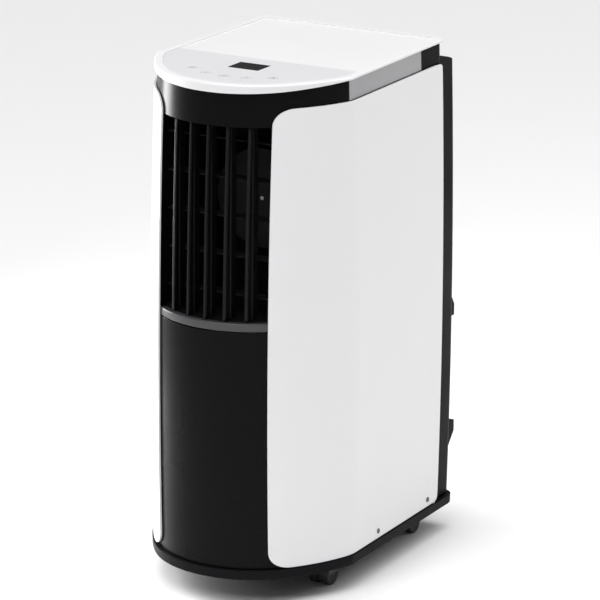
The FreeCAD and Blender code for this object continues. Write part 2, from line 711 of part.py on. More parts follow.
def cord_hook(z, reach, down):
    """A hook for the cord on the right of the rear casing."""
    back = casing_back()
    half = 21.0
    high, low = (-4.0, -half) if down else (half, 4.0)
    root = back - 9
    ring = [V(0, root, z - half), V(0, root, z + half), V(0, back, z + half), V(0, back + reach, z + high),
            V(0, back + reach, z + low), V(0, back, z - half)]
    prong = [V(HOOK_X - 7, p.y, p.z) for p in ring]
    hook = Part.Face(Part.makePolygon(prong + prong[:1])).extrude(V(14, 0, 0))
    return hook.cut(casing_solid())


def plug(x, z):
    """A screw plug that closes a drain."""
    back = casing_back()
    head = cylinder(PLUG_R, 5, V(x, back + 0.3, z), V(0, 1, 0))
    head = soften(head, 1.0, lambda e: e.BoundBox.YMin > back + 5)
    grip = box(x - PLUG_R + 1, x + PLUG_R - 1, back + 5, back + 8, z - 1.5, z + 1.5)
    stem = cylinder(PLUG_R - 3, PLUG_LEN, V(x, back + 1 - PLUG_LEN, z), V(0, 1, 0))
    return head.fuse(grip).fuse(stem).removeSplitter()


def panel_screws():
    """Two screws low on each white panel."""
    screws = []
    for y in SCREW_Y:
        z = PANEL_LOW + SCREW_UP
        x = half_width(z) - SIDE_TAPER * y / SIDE
        screw = cylinder(SCREW_R, 1.2, V(x - 0.3, y, z), V(1, 0, 0))
        screws.append(screw)
        screws.append(mirrored(screw))
    return screws


# ---- Inside -----------------------------------------------------------------------------------
def fan_deck():
    """The floor between the two halves, with a raised rim that holds the melt water."""
    deck = body(DECK_Z, DECK_Z + DECK_RIM, DECK_INSET, SIDE + DECK_INSET)
    deck = deck.cut(body(DECK_Z + DECK_T, DECK_Z + DECK_RIM + 1, DECK_INSET + 3, SIDE + DECK_INSET))
    deck = deck.cut(box(-FAR, FAR, -FAR, outlet_back_y() + 1, 0, FAR))
    deck = deck.cut(cylinder(PIPE_R + 2, 40, V(RISER_X, RISER_Y, DECK_Z - 10)))
    return deck.removeSplitter()


def duct():
    """The cold-air duct: a box from the evaporator fan to the outlet, open at its front."""
    w, y0 = FRONT_HALF + 4.0, outlet_back_y() + 0.5
    low, high = DECK_Z + DECK_T, plate_z() + OUTLET_WALL
    outer = box(-w, w, y0, y0 + 78, low, high)
    space = box(-w + 3, w - 3, y0 - 1, y0 + 75, low + 3, high - 3)
    z = (OUTLET_LOW + OUTLET_HIGH) / 2
    return outer.cut(space).cut(cylinder(FAN_R - 12, 20, V(0, y0 + 70, z), V(0, 1, 0)))


def fan_wheel(x, y, z):
    """A drum fan about Y: a back disc, blades and a front ring on a hub."""
    axis = V(0, 1, 0)
    at = V(x, y, z)
    wheel = cylinder(FAN_R, 2.5, at, axis)
    wheel = wheel.fuse(tube(FAN_R, FAN_R - 12, 2.5, at + V(0, FAN_W - 2.5, 0), axis))
    wheel = wheel.fuse(cylinder(FAN_HUB_R, FAN_W - 4, at, axis))
    blade = box(x + FAN_R - 12, x + FAN_R - 1, y + 1, y + FAN_W - 1, z - 1, z + 1)
    blade.rotate(V(x + FAN_R - 6, y, z), axis, 32)
    for i in range(FAN_BLADES):
        turned = blade.copy()
        turned.rotate(at, axis, 360.0 * i / FAN_BLADES)
        wheel = wheel.fuse(turned)
    wheel = wheel.cut(cylinder(SHAFT_R + SHAFT_GAP, FAN_W + 2, at - V(0, 1, 0), axis))
    return wheel.removeSplitter()


def fan_motor(x, y, z, floor):
    """A motor with its shaft towards -Y into the fan, on a foot down to its floor."""
    axis = V(0, 1, 0)
    can = cylinder(MOTOR_R, MOTOR_LEN, V(x, y, z), axis)
    can = soften(can, 4, lambda e: True)
    shaft = cylinder(SHAFT_R, FAN_W + 6, V(x, y - FAN_W - 5, z), axis)
    foot = box(x - 12, x + 12, y + 6, y + MOTOR_LEN - 6, floor, z - MOTOR_R + 4)
    return can.fuse(shaft).fuse(foot).removeSplitter()


def coil(low, high, y):
    """A finned coil with tube bends at both ends."""
    w = COIL_W / 2
    core = box(-w, w, y, y + COIL_T, low, high)
    for i in range(27):
        x = -w + 8 + i * 8
        core = core.cut(box(x - 1.2, x + 1.2, y - 1, y + 2.5, low + 3, high - 3))
        core = core.cut(box(x - 1.2, x + 1.2, y + COIL_T - 2.5, y + COIL_T + 1, low + 3, high - 3))
    bends = int((high - low - 10) / 40)
    for side in (-1, 1):
        for i in range(bends):
            z = low + 25 + i * 40
            ring = Part.makeTorus(10, 3.5, V(side * w, y + COIL_T / 2, z), V(0, 1, 0))
            near, far = sorted((side * (w - 1), side * (w + 20)))
            keep = box(near, far, 0, FAR, low, high)
            core = core.fuse(ring.common(keep))
    return core.removeSplitter()


def compressor():
    """The sealed compressor on three feet."""
    x, y, z = COMPRESSOR_X, COMPRESSOR_Y, FLOOR_GAP + 4
    low = z + COMPRESSOR_LIFT
    can = cylinder(COMPRESSOR_R, COMPRESSOR_H, V(x, y, low))
    can = soften(can, 16, lambda e: e.BoundBox.ZLength < 0.1)
    can = can.fuse(cylinder(COMPRESSOR_R - 6, 6, V(x, y, low - 2)))
    for angle in (30, 110, 290):
        turn = math.radians(angle)
        foot = V(x + 36 * math.cos(turn), y + 36 * math.sin(turn), z)
        can = can.fuse(cylinder(7, COMPRESSOR_LIFT + 1, foot))
    return can.fuse(cylinder(9, 12, V(x, y, low + COMPRESSOR_H - 2))).removeSplitter()


def compressor_top():
    """Top of the compressor's terminal."""
    return FLOOR_GAP + 4 + COMPRESSOR_LIFT + COMPRESSOR_H + 10


def scroll_centre():
    """The condenser fan's middle."""
    return V(SCROLL_X, SCROLL_Y, SCROLL_Z)


def condenser_scroll():
    """The warm-air housing: a ring round the fan and a plenum up to the collar."""
    c = scroll_centre()
    depth = FAN_W + 12
    outer_r = FAN_R + SCROLL_GAP + SCROLL_WALL
    y0, y1 = c.y, c.y + depth
    t = SCROLL_WALL
    outer = cylinder(outer_r, depth, c, V(0, 1, 0))
    outer = outer.fuse(box(-62, 72, y0, y1, c.z + 10, 266))
    outer = outer.fuse(box(-72, 72, y0, casing_back() - 8, 263, DECK_Z - 2))
    space = cylinder(outer_r - t, depth - 2 * t, c + V(0, t, 0), V(0, 1, 0))
    space = space.fuse(box(-62 + t, 72 - t, y0 + t, y1 - t, c.z + 10 + t, 270))
    space = space.fuse(box(-72 + t, 72 - t, y0 + t, casing_back() - 8 - t, 263 + t, DECK_Z - 2 - t))
    scroll = outer.cut(space)
    scroll = scroll.cut(cylinder(FAN_R - 14, 20, V(c.x, y1 - 10, c.z), V(0, 1, 0)))
    scroll = scroll.cut(cylinder(12, 20, V(c.x, y0 - 10, c.z), V(0, 1, 0)))
    mouth = cylinder(COLLAR_R - 2, 30, V(0, casing_back() - 20, COLLAR_Z), V(0, 1, 0))
    return scroll.cut(mouth).removeSplitter()


def control_box():
    """The box for the electrics, left of the cold-air duct."""
    return box(-148, -106, 10, 120, DECK_Z + DECK_T, DECK_Z + 170)


def pipe_run(points):
    """A pipe through the points, with round elbows."""
    pipe = None
    for a, b in zip(points, points[1:]):
        piece = cylinder(PIPE_R, (b - a).Length, a, b - a)
        pipe = piece if pipe is None else pipe.fuse(piece)
    for p in points[1:-1]:
        pipe = pipe.fuse(Part.makeSphere(PIPE_R, p))
    return pipe


def refrigerant_pipes():
    """The two pipes between the compressor and the coils."""
    top = compressor_top()
    start = V(COMPRESSOR_X, COMPRESSOR_Y, top)
    coil_y = SIDE - 22 + COIL_T / 2
    low = pipe_run([start, start + V(0, 0, 22), V(-128, 60, top + 22), V(-128, coil_y, top + 22),
                    V(-128, coil_y, 249), V(-COIL_W / 2 - 0.2, coil_y, 249)])
    upper_y = SIDE - 44 + COIL_T / 2
    deck = DECK_Z + DECK_T
    high = pipe_run([V(-128, 60, top + 22), V(RISER_X, RISER_Y, deck - 40), V(RISER_X, RISER_Y, deck + 30),
                     V(RISER_X, upper_y, deck + 45), V(-COIL_W / 2 - 0.2, upper_y, deck + 45)])
    return low.fuse(high)


# ---- The whole --------------------------------------------------------------------------------
def pieces():
    """Every piece by its node name."""
    fan_z = (OUTLET_LOW + OUTLET_HIGH) / 2
    fan_y = outlet_back_y() + 24.0
    c = scroll_centre()
    nodes = {
        "base_tray": base_tray(),
        "rear_casing": rear_casing(),
        "side_panel_right": side_panel(),
        "side_panel_left": mirrored(side_panel()),
        "front_panel": front_panel(),
        "outlet_sill": outlet_sill(),
        "outlet_frame": outlet_frame(),
        "neck_band": neck_band(),
        "side_trim_right": side_trim(),
        "side_trim_left": mirrored(side_trim()),
        "top_lid": top_lid(),
        "control_overlay": control_overlay(),
        "display_window": display_window(),
        "control_board": control_board(),
        "vane_link": vane_link(),
        "guide_link": guide_link(),
        "swing_motor": swing_motor(),
        "upper_grille": grille(UPPER_GRILLE, UPPER_GRILLE_Z),
        "upper_filter": upper_filter(),
        "lower_grille": grille(LOWER_GRILLE, LOWER_GRILLE_Z),
        "exhaust_collar": exhaust_collar(),
        "cord_hooks": [cord_hook(HOOK_Z[0], HOOK_REACH[0], True), cord_hook(HOOK_Z[1], HOOK_REACH[1], False)],
        "drain_plug_upper": plug(PLUG_X[0], PLUG_Z),
        "drain_plug_lower": plug(PLUG_X[1], BASE_TOP - 8),
        "panel_screws": panel_screws(),
        "fan_deck": fan_deck(),
        "air_duct": duct(),
        "evaporator_fan": fan_wheel(0, fan_y, fan_z),
        "evaporator_fan_motor": fan_motor(0, fan_y + FAN_W + 5, fan_z, DECK_Z + DECK_T),
        "evaporator_coil": coil(DECK_Z + DECK_T, OUTLET_HIGH, SIDE - 44),
        "condenser_scroll": condenser_scroll(),
        "condenser_fan": fan_wheel(c.x, c.y + 6, c.z),
        "condenser_fan_motor": fan_motor_front(c),
        "condenser_coil": coil(FLOOR_GAP + 4, 255.0, SIDE - 22),
        "compressor": compressor(),
        "control_box": control_box(),
        "refrigerant_pipes": refrigerant_pipes(),
    }
    for i, x in enumerate(vane_xs()):
        nodes["vane_%d" % (i + 1)] = vane(x)
    for i, z in enumerate(blade_zs()):
        nodes["guide_blade_%d" % (i + 1)] = guide_blade(z)
    for name, (x, y) in zip(("mode", "down", "power", "up", "fan"), key_places()):
        nodes["key_" + name] = key(x, y)
    for i, (x, y) in enumerate(caster_places()):
        nodes["caster_fork_%d" % (i + 1)] = caster_fork(x, y)
        nodes["caster_wheels_%d" % (i + 1)] = caster_wheels(x, y)
    return nodes


def fan_motor_front(c):
    """The condenser fan's motor, in front of the scroll, with its shaft towards +Y."""
    axis = V(0, 1, 0)
    can = cylinder(MOTOR_R, MOTOR_LEN, V(c.x, c.y - MOTOR_LEN - 2, c.z), axis)
    can = soften(can, 4, lambda e: True)
    shaft = cylinder(SHAFT_R, FAN_W + 6, V(c.x, c.y - 3, c.z), axis)
    foot = box(c.x - 12, c.x + 12, c.y - MOTOR_LEN + 4, c.y - 8, FLOOR_GAP + 4, c.z - MOTOR_R + 4)
    return can.fuse(shaft).fuse(foot).removeSplitter()


def joined(item):
    """One shape from a piece or a list of pieces."""
    return Part.makeCompound(item) if isinstance(item, list) else item


def main():
    """Builds every piece, centres the whole on the origin and writes the files."""
    nodes = {name: joined(item) for name, item in pieces().items()}
    whole = Part.makeCompound(list(nodes.values())).optimalBoundingBox(False)
    shift = V(-(whole.XMin + whole.XMax) / 2, -(whole.YMin + whole.YMax) / 2, 0)
    os.makedirs("parts", exist_ok=True)
    for name, shape in nodes.items():
        shape.translate(shift)
        shape.exportStep("parts/" + name + ".step")
    print("pieces", len(nodes), "shift", shift, "size", whole.XLength, whole.YLength, whole.ZMin, whole.ZMax)


main()
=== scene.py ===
"""Looks of the portable air conditioner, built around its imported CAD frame.

The side panels, the black front and its sill, the vanes' front beads, the casters' wheels and the
key marks are surfaces made here from the same sizes as the CAD. Every other piece is the CAD's
own, dressed with a procedural finish. Lengths are in metres; +Z is up and the front faces -Y.
"""
import json
import logging
import math
from dataclasses import dataclass, field
from enum import Enum

import bpy
import numpy as np
from mathutils import Matrix, Vector


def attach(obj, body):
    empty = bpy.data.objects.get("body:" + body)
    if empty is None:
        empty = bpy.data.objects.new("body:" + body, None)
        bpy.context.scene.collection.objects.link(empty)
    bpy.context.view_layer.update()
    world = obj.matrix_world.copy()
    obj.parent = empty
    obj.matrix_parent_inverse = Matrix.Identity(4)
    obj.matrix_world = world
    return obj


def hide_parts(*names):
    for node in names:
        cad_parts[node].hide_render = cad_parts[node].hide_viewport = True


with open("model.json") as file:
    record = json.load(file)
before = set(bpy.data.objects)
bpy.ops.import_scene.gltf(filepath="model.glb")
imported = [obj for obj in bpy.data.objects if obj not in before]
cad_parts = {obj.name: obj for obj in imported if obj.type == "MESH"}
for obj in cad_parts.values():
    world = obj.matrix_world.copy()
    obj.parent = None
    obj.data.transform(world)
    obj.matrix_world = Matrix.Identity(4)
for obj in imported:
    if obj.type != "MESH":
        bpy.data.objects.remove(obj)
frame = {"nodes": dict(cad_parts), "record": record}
MM = 0.001
log = logging.getLogger("scene")
Grid = np.ndarray


# ---- Sizes ------------------------------------------------------------------------------------
@dataclass(frozen=True)
class BodySizes:
    """The driving sizes of the body, the same as the CAD's, in millimetres."""

    height: float = 770.0
    crease_half: float = 160.0
    side: float = 300.0
    nose_r: float = 145.0
    nose_angle: float = math.radians(49.0)
    flank_r: float = 275.0
    taper: float = 4.0
    corner_r: float = 22.0
    bulge: float = 13.0
    bulge_side: float = 0.6
    bulge_z: float = 330.0
    bulge_reach: float = 430.0
    shift_y: float = -109.4763
    crease_round: float = 9.0
    flank_run: float = 60.0


@dataclass(frozen=True)
class BodyForm:
    """The body's outline at any height, as a surface of two parameters.

    The place along the outline runs from 0 at the nose to 1 at the end of the nose's arc, 2 at
    the crease, 3 at the start of the back corner, 4 at its end and 5 at the middle of the back.
    """

    sizes: BodySizes = field(default_factory=BodySizes)

    def crease_span(self) -> tuple[float, float]:
        """How far the crease's round reaches before and after it, as places along the outline."""
        return self.sizes.crease_round / self.sizes.flank_run, self.sizes.crease_round / self.sizes.side

    def swell(self, z: Grid) -> Grid:
        """How far the front stands out: a parabola in the height.

        Args:
            z: Heights in millimetres.

        Returns:
            The swell at each height.
        """
        s = self.sizes
        return s.bulge * (1 - ((z - s.bulge_z) / s.bulge_reach) ** 2)

    def nose_centre(self, z: Grid) -> Grid:
        """Y of the nose arc's centre at each height.

        Args:
            z: Heights in millimetres.

        Returns:
            The centre's Y at each height.
        """
        s = self.sizes
        flank_x = -(s.flank_r - s.nose_r) * math.sin(s.nose_angle)
        reach = math.asin((s.crease_half - flank_x) / s.flank_r)
        drop = (s.flank_r - s.nose_r) * math.cos(s.nose_angle) - s.flank_r * math.cos(reach)
        return -drop - self.swell(z)

    def nose_place(self, x: float, inset: float) -> float:
        """The outline's parameter where the nose arc passes a given x.

        Args:
            x: Distance from the middle in millimetres.
            inset: How far inside the face.

        Returns:
            A place along the outline, from 0 to 1.
        """
        return math.asin(x / (self.sizes.nose_r - inset)) / self.sizes.nose_angle

    def outline(self, u: Grid, z: Grid, inset: float | Grid) -> tuple[Grid, Grid]:
        """Points of the outline: two arcs, the straight side, the corner's arc and the back.

        Args:
            u: Place along the outline, 0 to 5.
            z: Height in millimetres.
            inset: How far inside the face, in millimetres.

        Returns:
            X and Y in millimetres.
        """
        s = self.sizes
        cy = self.nose_centre(z)
        nose_r, flank_r = s.nose_r - inset, s.flank_r - inset
        fx = -(s.flank_r - s.nose_r) * math.sin(s.nose_angle)
        fy = cy + (s.flank_r - s.nose_r) * math.cos(s.nose_angle)
        half = s.crease_half + s.bulge_side * self.swell(z) - inset
        reach = np.arcsin((half - fx) / flank_r)
        a = np.clip(u, 0, 1) * s.nose_angle
        b = s.nose_angle + (np.clip(u, 1, 2) - 1) * (reach - s.nose_angle)
        crease_y = fy - flank_r * np.cos(reach)
        r = max(s.corner_r - float(np.min(inset)), 2.0)
        back_half, back_y = half - s.taper, s.side - inset
        t = np.clip(u, 2, 3) - 2
        c = (np.clip(u, 3, 4) - 3) * (math.pi / 2)
        e = np.clip(u, 4, 5) - 4
        x = np.select(
            [u <= 1, u <= 2, u <= 3, u <= 4],
            [nose_r * np.sin(a), fx + flank_r * np.sin(b), half - s.taper * t,
             back_half - r + r * np.cos(c)],
            (back_half - r) * (1 - e),
        )
        y = np.select(
            [u <= 1, u <= 2, u <= 3, u <= 4],
            [cy - nose_r * np.cos(a), fy - flank_r * np.cos(b), crease_y + t * (back_y - r - crease_y),
             back_y - r + r * np.sin(c)],
            back_y + 0 * u,
        )
        return x, y

    def skin(self, u: Grid, z: Grid, inset: float) -> Grid:
        """Points of the skin, with the crease rounded by a quadratic curve.

        Near the crease the straight runs are replaced by a Bezier curve whose middle pole is the
        crease itself, so the two faces flow into each other over a few millimetres.

        Args:
            u: Place along the outline.
            z: Height in millimetres, the same shape as u.
            inset: How far inside the face.

        Returns:
            Points in metres in the row's frame.
        """
        s = self.sizes
        before, after = self.crease_span()
        t = np.clip((u - (2 - before)) / (before + after), 0, 1)
        ends = [self.outline(np.full_like(u, p), z, inset) for p in (2 - before, 2.0, 2 + after)]
        near = (u > 2 - before) & (u < 2 + after)
        plain = self.outline(u, z, inset)
        weights = ((1 - t) ** 2, 2 * t * (1 - t), t**2)
        out = []
        for axis in (0, 1):
            curve = sum(w * e[axis] for w, e in zip(weights, ends))
            out.append(np.where(near, curve, plain[axis]))
        return np.stack([out[0], out[1] + s.shift_y, z], axis=-1) * MM


FORM = BodyForm()


# ---- Meshes -----------------------------------------------------------------------------------
def grid_faces(rows: int, cols: int, closed: bool = False) -> Grid:
    """Quads of a grid of points, row by row.

    Args:
        rows: Number of rows.
        cols: Points in a row.
        closed: Whether each row joins its own start.

    Returns:
        An array of four indices per face.
    """
    i, j = np.meshgrid(np.arange(rows - 1), np.arange(cols if closed else cols - 1), indexing="ij")
    k = (j + 1) % cols
    corners = [i * cols + j, i * cols + k, (i + 1) * cols + k, (i + 1) * cols + j]
    return np.stack(corners, axis=-1).reshape(-1, 4)


def mesh_object(name: str, points: Grid, faces: list[list[int]] | Grid) -> bpy.types.Object:
    """Makes a smooth mesh object at the origin.

    Args:
        name: The object's name.
        points: Points in metres, in any number of rows.
        faces: Indices of each face's corners.

    Returns:
        The object, linked to the scene.
    """
    mesh = bpy.data.meshes.new(name)
    mesh.from_pydata(points.reshape(-1, 3).tolist(), [], [list(map(int, f)) for f in faces])
    mesh.polygons.foreach_set("use_smooth", np.full(len(mesh.polygons), True))
    mesh.update()
    obj = bpy.data.objects.new(name, mesh)
    bpy.context.scene.collection.objects.link(obj)
    return obj


def thicken(obj: bpy.types.Object, wall: float, edge: float, segments: int = 3) -> None:
    """Gives a sheet a wall on its inner side and rounded edges.

    Args:
        obj: The sheet.
        wall: Thickness of the wall in millimetres.
        edge: Width of the rounded edge in millimetres.
        segments: Faces across the rounded edge.
    """
    solid = obj.modifiers.new("wall", "SOLIDIFY")
    solid.thickness, solid.offset, solid.use_even_offset = wall * MM, -1.0, True
    bevel = obj.modifiers.new("edge", "BEVEL")
    bevel.width, bevel.segments, bevel.limit_method = edge * MM, segments, "ANGLE"
    bevel.angle_limit, bevel.harden_normals = math.radians(50), True


def lathe(name: str, profile: Grid, centre: Grid, axis: str, turns: int = 96) -> bpy.types.Object:
    """Turns a closed profile of (distance along the axis, radius) round an axis into a ring.

    Args:
        name: The object's name.
        profile: The profile's points in millimetres, closed, off the axis.
        centre: The axis' point in millimetres, in the row's frame.
        axis: "x", "y" or "z".
        turns: Steps round the axis.

    Returns:
        The ring as an object.
    """
    angle = np.linspace(0, 2 * math.pi, turns, endpoint=False)[:, None]
    along = np.broadcast_to(profile[None, :, 0], (turns, len(profile)))
    c, s = profile[None, :, 1] * np.cos(angle), profile[None, :, 1] * np.sin(angle)
    points = {"x": (along, c, s), "y": (s, along, c), "z": (c, s, along)}[axis]
    points = (np.stack(points, axis=-1) + centre) * MM
    points = np.concatenate([points, points[:1]], axis=0)
    faces = grid_faces(turns + 1, len(profile), closed=True) % (turns * len(profile))
    return mesh_object(name, points[:-1], faces[:, ::-1])


def spaced(low: float, high: float, count: int, end: float = 0.0) -> Grid:
    """Values from low to high, closer together over a length end at both ends.

    Near each end the steps follow one minus a cosine, so that a round corner comes out smooth.

    Args:
        low: First value.
        high: Last value.
        count: Values in the even middle, with its two ends.
        end: Length over which they are closer, or 0 for even values.

    Returns:
        The values in order.
    """
    if end <= 0:
        return np.linspace(low, high, count)
    rim = end * (1 - np.cos(np.linspace(0, math.pi / 2, 14)))
    middle = np.linspace(low + end, high - end, count)[1:-1]
    return np.concatenate([low + rim, middle, (high - rim)[::-1]])


# ---- Finishes ---------------------------------------------------------------------------------
class Nodes:
    """A short hand for wiring a node tree."""

    def __init__(self, tree: bpy.types.NodeTree) -> None:
        """Keeps the tree that the nodes go into."""
        self.tree = tree

    def add(self, kind: str, **values: object) -> bpy.types.Node:
        """Adds a node.

        Args:
            kind: The node's type.
            values: Its properties; a name that starts with in_ is an unlinked input instead.

        Returns:
            The node.
        """
        node = self.tree.nodes.new(kind)
        for key, value in values.items():
            name = key.replace("_", " ").title() if key.startswith("in_") else key
            if key.startswith("in_"):
                node.inputs[name[3:]].default_value = value
            else:
                setattr(node, key, value)
        return node

    def link(self, a: bpy.types.NodeSocket, b: bpy.types.NodeSocket) -> None:
        """Links an output to an input."""
        self.tree.links.new(a, b)


def wear_group() -> bpy.types.NodeTree:
    """A shared effect: fine moulding grain and slow changes of gloss over a surface.

    Returns:
        A group with inputs Vector, Grain Scale, Grain Depth, Patch Scale, Roughness and Spread,
        and outputs Roughness, Normal and Patch.
    """
    found = bpy.data.node_groups.get("moulded_surface")
    if found:
        return found
    tree = bpy.data.node_groups.new("moulded_surface", "ShaderNodeTree")
    number, direction = "NodeSocketFloat", "NodeSocketVector"
    tree.interface.new_socket(name="Vector", in_out="INPUT", socket_type=direction)
    for name, value in (("Grain Scale", 900.0), ("Grain Depth", 0.1), ("Patch Scale", 6.0),
                        ("Roughness", 0.4), ("Spread", 0.08)):
        tree.interface.new_socket(name=name, in_out="INPUT", socket_type=number).default_value = value
    for name, kind in (("Roughness", number), ("Normal", direction), ("Patch", number)):
        tree.interface.new_socket(name=name, in_out="OUTPUT", socket_type=kind)
    n = Nodes(tree)
    enter, leave = n.add("NodeGroupInput"), n.add("NodeGroupOutput")
    grain = n.add("ShaderNodeTexNoise", in_detail=3.0, in_roughness=0.6)
    patch = n.add("ShaderNodeTexNoise", in_detail=4.0, in_roughness=0.55)
    bump = n.add("ShaderNodeBump", in_distance=0.0004)
    spread = n.add("ShaderNodeMapRange")
    low, high = n.add("ShaderNodeMath", operation="SUBTRACT"), n.add("ShaderNodeMath", operation="ADD")
    for node, scale in ((grain, "Grain Scale"), (patch, "Patch Scale")):
        n.link(enter.outputs["Vector"], node.inputs["Vector"])
        n.link(enter.outputs[scale], node.inputs["Scale"])
    n.link(enter.outputs["Grain Depth"], bump.inputs["Strength"])
    n.link(grain.outputs["Fac"], bump.inputs["Height"])
    for node in (low, high):
        n.link(enter.outputs["Roughness"], node.inputs[0])
        n.link(enter.outputs["Spread"], node.inputs[1])
    spread.inputs["From Min"].default_value, spread.inputs["From Max"].default_value = 0.3, 0.7
    n.link(patch.outputs["Fac"], spread.inputs["Value"])
    n.link(low.outputs[0], spread.inputs["To Min"])
    n.link(high.outputs[0], spread.inputs["To Max"])
    n.link(spread.outputs["Result"], leave.inputs["Roughness"])
    n.link(bump.outputs["Normal"], leave.inputs["Normal"])
    n.link(patch.outputs["Fac"], leave.inputs["Patch"])
    return tree


class Stretch(Enum):
    """How a finish's grain is drawn out."""

    EVEN = (1.0, 1.0, 1.0)
    BRUSHED_X = (0.03, 1.0, 1.0)
    BRUSHED_Z = (1.0, 1.0, 0.03)


@dataclass(frozen=True)
class Finish:
    """A procedural finish: one Principled surface with grain and uneven gloss.

    Args:
        name: The material's name.
        colour: Base colour, linear.
        roughness: Mean roughness.
        spread: How far the roughness wanders each way.
        grain: Scale of the fine grain.
        depth: Strength of the fine grain's relief.
        metallic: 0 for plastics, 1 for metals.
        coat: Weight of a clear coat.
        tint: How much the colour varies with the patches.
        stretch: How the grain is drawn out.
        patch: Scale of the patches.
        shine: Strength of the plain reflection.
    """

    name: str
    colour: tuple[float, float, float]
    roughness: float
    spread: float = 0.05
    grain: float = 900.0
    depth: float = 0.08
    metallic: float = 0.0
    coat: float = 0.0
    tint: float = 0.05
    stretch: Stretch = Stretch.EVEN
    patch: float = 7.0
    shine: float = 0.5

    def build(self) -> bpy.types.Material:
        """Makes the material, or returns it if it was made before."""
        title = self.name + "_finish"
        made = bpy.data.materials.get(title)
        if made:
            return made
        material = bpy.data.materials.new(title)
        material.use_nodes = True
        tree = material.node_tree
        tree.nodes.clear()
        n = Nodes(tree)
        out, shader = n.add("ShaderNodeOutputMaterial"), n.add("ShaderNodeBsdfPrincipled")
        shader.inputs["Specular IOR Level"].default_value = self.shine
        place = n.add("ShaderNodeTexCoord")
        drawn = n.add("ShaderNodeMapping")
        drawn.inputs["Scale"].default_value = self.stretch.value
        wear = n.add("ShaderNodeGroup", node_tree=wear_group())
        for key, value in (("Grain Scale", self.grain), ("Grain Depth", self.depth),
                           ("Patch Scale", self.patch), ("Roughness", self.roughness),
                           ("Spread", self.spread)):
            wear.inputs[key].default_value = value
        mix = n.add("ShaderNodeMix", data_type="RGBA")
        mix.inputs["A"].default_value = (*self.colour, 1.0)
        mix.inputs["B"].default_value = (*(c * (1 - self.tint) for c in self.colour), 1.0)
        n.link(place.outputs["Object"], drawn.inputs["Vector"])
        n.link(drawn.outputs["Vector"], wear.inputs["Vector"])
        n.link(wear.outputs["Patch"], mix.inputs["Factor"])
        n.link(self.pattern(n, mix.outputs["Result"], place), shader.inputs["Base Color"])
        n.link(wear.outputs["Roughness"], shader.inputs["Roughness"])
        n.link(wear.outputs["Normal"], shader.inputs["Normal"])
        shader.inputs["Metallic"].default_value = self.metallic
        shader.inputs["Coat Weight"].default_value = self.coat
        shader.inputs["Coat Roughness"].default_value = 0.08
        n.link(shader.outputs["BSDF"], out.inputs["Surface"])
        return material

    def pattern(self, n: Nodes, colour: bpy.types.NodeSocket, place: bpy.types.Node) -> bpy.types.NodeSocket:
        """Adds a pattern over the plain colour; this one adds none.

        Args:
            n: The material's nodes.
            colour: The plain colour.
            place: The texture coordinates.

        Returns:
            The colour with the pattern.
        """
        return colour


@dataclass(frozen=True)
class Mesh(Finish):
    """A woven finish: two crossed sets of threads over the base colour."""

    pitch: float = 420.0

    def pattern(self, n: Nodes, colour: bpy.types.NodeSocket, place: bpy.types.Node) -> bpy.types.NodeSocket:
        """Darkens the gaps between crossed threads, seen along Y."""
        waves = []
        for direction in ("X", "Z"):
            wave = n.add("ShaderNodeTexWave", bands_direction=direction)
            wave.inputs["Scale"].default_value = self.pitch / 6
            n.link(place.outputs["Object"], wave.inputs["Vector"])
            waves.append(wave)
        most = n.add("ShaderNodeMath", operation="MAXIMUM")
        mix = n.add("ShaderNodeMix", data_type="RGBA", blend_type="MULTIPLY")
        mix.inputs["Factor"].default_value = 0.8
        for i, wave in enumerate(waves):
            n.link(wave.outputs["Fac"], most.inputs[i])
        n.link(colour, mix.inputs["A"])
        n.link(most.outputs[0], mix.inputs["B"])
        return mix.outputs["Result"]


@dataclass(frozen=True)
class Board(Finish):
    """A circuit board's finish: paler tracks in a squared pattern."""

    def pattern(self, n: Nodes, colour: bpy.types.NodeSocket, place: bpy.types.Node) -> bpy.types.NodeSocket:
        """Draws paler tracks along the edges of a squared cell pattern."""
        cells = n.add("ShaderNodeTexVoronoi", distance="CHEBYCHEV", feature="F1")
        cells.inputs["Scale"].default_value = 120.0
        ramp = n.add("ShaderNodeMapRange")
        ramp.inputs["From Min"].default_value, ramp.inputs["From Max"].default_value = 0.42, 0.5
        mix = n.add("ShaderNodeMix", data_type="RGBA")
        mix.inputs["B"].default_value = (0.10, 0.32, 0.12, 1.0)
        n.link(place.outputs["Object"], cells.inputs["Vector"])
        n.link(cells.outputs["Distance"], ramp.inputs["Value"])
        n.link(ramp.outputs["Result"], mix.inputs["Factor"])
        n.link(colour, mix.inputs["A"])
        return mix.outputs["Result"]


